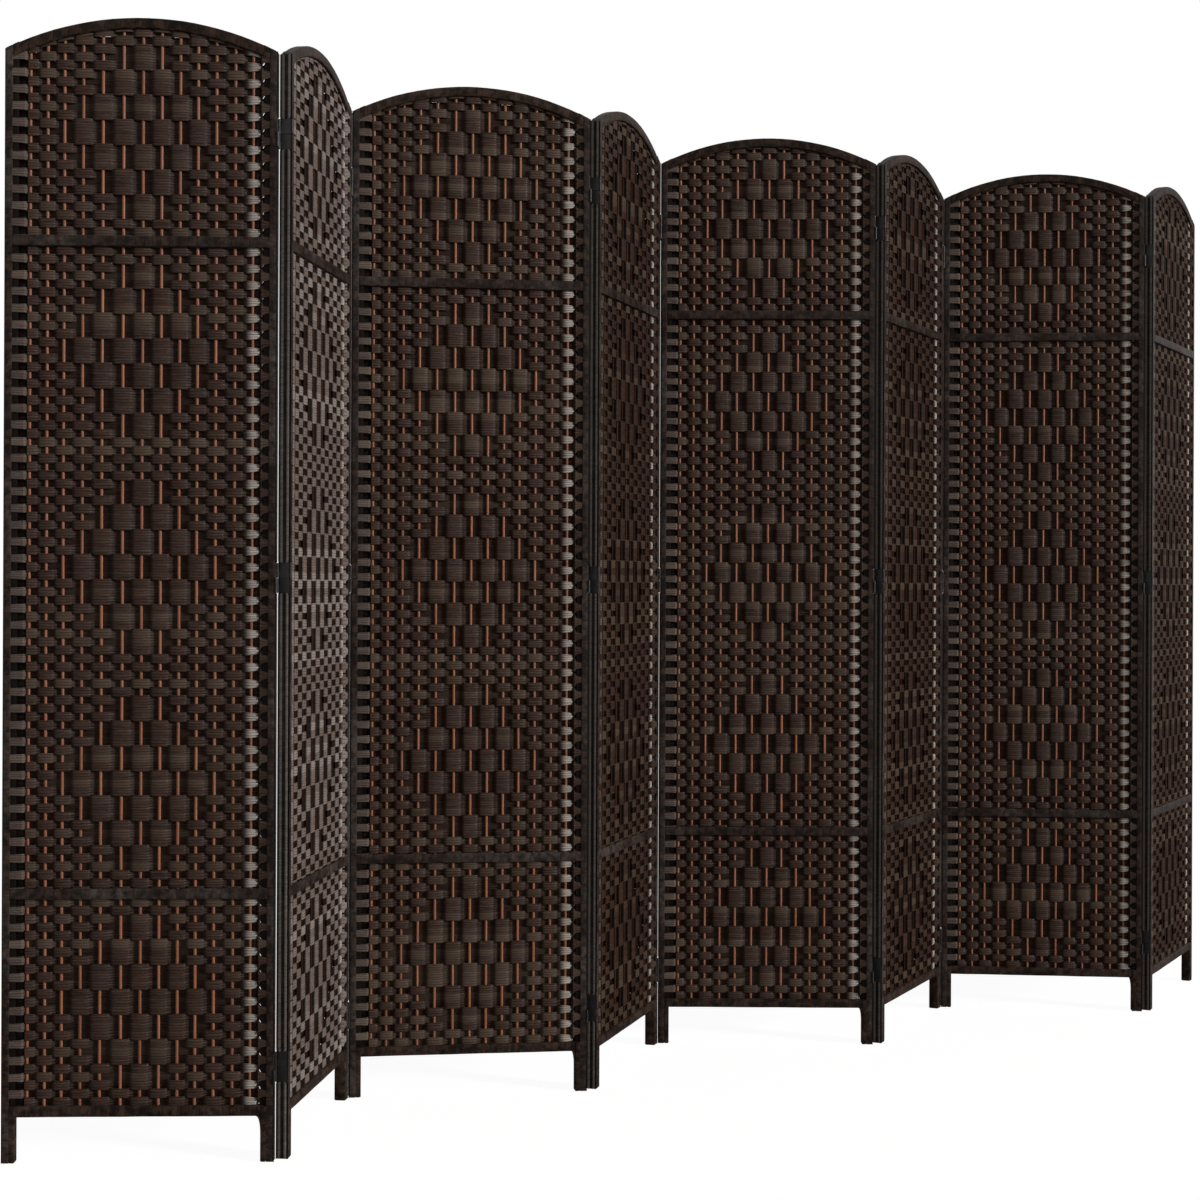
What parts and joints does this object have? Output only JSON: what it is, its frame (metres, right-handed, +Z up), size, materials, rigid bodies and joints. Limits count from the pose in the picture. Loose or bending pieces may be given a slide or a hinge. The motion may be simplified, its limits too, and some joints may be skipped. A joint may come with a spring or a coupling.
{
  "type": "room divider",
  "caption": "Tall folding screen of arched frames filled with a dark diamond weave on brown rods, standing in a zigzag on short legs and joined by screen hinges.",
  "frame": {"origin": "on the floor, under the middle of the standing screen's footprint", "axes": "+Z up, +X along the standing screen, +Y to its back; the first, third, fifth and seventh lines of hinges are nearer or level with the front"},
  "size_m": [2.7086, 0.3762, 1.7],
  "materials": {
    "wrapped_wood": "dark brown paper wrapping, matt with fine bands",
    "wrapped_strip": "dark brown paper covered strip, matt to satin",
    "stained_rod": "orange brown stain, satin",
    "woven_paper": "twisted paper fibre, dark brown with a soft sheen",
    "black_steel": "black, satin"
  },
  "bodies": {
    "panel_1": {"panel_1_stiles": "wrapped_wood", "panel_1_rails": "wrapped_wood", "panel_1_trim_strips": "wrapped_strip", "panel_1_rods": "stained_rod", "panel_1_woven_mat": "woven_paper", "panel_1_hinge_leaves": "black_steel", "panel_1_hinge_links": "black_steel"},
    "panel_2": {"panel_2_stiles": "wrapped_wood", "panel_2_rails": "wrapped_wood", "panel_2_trim_strips": "wrapped_strip", "panel_2_rods": "stained_rod", "panel_2_woven_mat": "woven_paper", "panel_2_hinge_leaves": "black_steel", "panel_2_hinge_links": "black_steel"},
    "panel_3": {"panel_3_stiles": "wrapped_wood", "panel_3_rails": "wrapped_wood", "panel_3_trim_strips": "wrapped_strip", "panel_3_rods": "stained_rod", "panel_3_woven_mat": "woven_paper", "panel_3_hinge_leaves": "black_steel", "panel_3_hinge_links": "black_steel"},
    "panel_4": {"panel_4_stiles": "wrapped_wood", "panel_4_rails": "wrapped_wood", "panel_4_trim_strips": "wrapped_strip", "panel_4_rods": "stained_rod", "panel_4_woven_mat": "woven_paper", "panel_4_hinge_leaves": "black_steel", "panel_4_hinge_links": "black_steel"},
    "panel_5": {"panel_5_stiles": "wrapped_wood", "panel_5_rails": "wrapped_wood", "panel_5_trim_strips": "wrapped_strip", "panel_5_rods": "stained_rod", "panel_5_woven_mat": "woven_paper", "panel_5_hinge_leaves": "black_steel", "panel_5_hinge_links": "black_steel"},
    "panel_6": {"panel_6_stiles": "wrapped_wood", "panel_6_rails": "wrapped_wood", "panel_6_trim_strips": "wrapped_strip", "panel_6_rods": "stained_rod", "panel_6_woven_mat": "woven_paper", "panel_6_hinge_leaves": "black_steel", "panel_6_hinge_links": "black_steel"},
    "panel_7": {"panel_7_stiles": "wrapped_wood", "panel_7_rails": "wrapped_wood", "panel_7_trim_strips": "wrapped_strip", "panel_7_rods": "stained_rod", "panel_7_woven_mat": "woven_paper", "panel_7_hinge_leaves": "black_steel", "panel_7_hinge_links": "black_steel"},
    "panel_8": {"panel_8_stiles": "wrapped_wood", "panel_8_rails": "wrapped_wood", "panel_8_trim_strips": "wrapped_strip", "panel_8_rods": "stained_rod", "panel_8_woven_mat": "woven_paper", "panel_8_hinge_leaves": "black_steel", "panel_8_hinge_links": "black_steel"}
  },
  "joints": [
    {"name": "fold_panels_1_2", "type": "hinge", "parent": "panel_1", "child": "panel_2", "pos_m": [-1.00999, -0.16972, 0.8], "axis": [0, 0, 1], "range_deg": [-81, 99]},
    {"name": "fold_panels_2_3", "type": "hinge", "parent": "panel_2", "child": "panel_3", "pos_m": [-0.72146, 0.11262, 0.8], "axis": [0, 0, -1], "range_deg": [-75, 105]},
    {"name": "fold_panels_3_4", "type": "hinge", "parent": "panel_3", "child": "panel_4", "pos_m": [-0.35541, -0.05761, 0.8], "axis": [0, 0, 1], "range_deg": [-65, 115]},
    {"name": "fold_panels_4_5", "type": "hinge", "parent": "panel_4", "child": "panel_5", "pos_m": [-0.02223, 0.17034, 0.8], "axis": [0, 0, -1], "range_deg": [-74, 106]},
    {"name": "fold_panels_5_6", "type": "hinge", "parent": "panel_5", "child": "panel_6", "pos_m": [0.31268, -0.05506, 0.8], "axis": [0, 0, 1], "range_deg": [-66, 114]},
    {"name": "fold_panels_6_7", "type": "hinge", "parent": "panel_6", "child": "panel_7", "pos_m": [0.67434, 0.1243, 0.8], "axis": [0, 0, -1], "range_deg": [-71, 109]},
    {"name": "fold_panels_7_8", "type": "hinge", "parent": "panel_7", "child": "panel_8", "pos_m": [0.98833, -0.12943, 0.8], "axis": [0, 0, 1], "range_deg": [-69, 111]}
  ]
}
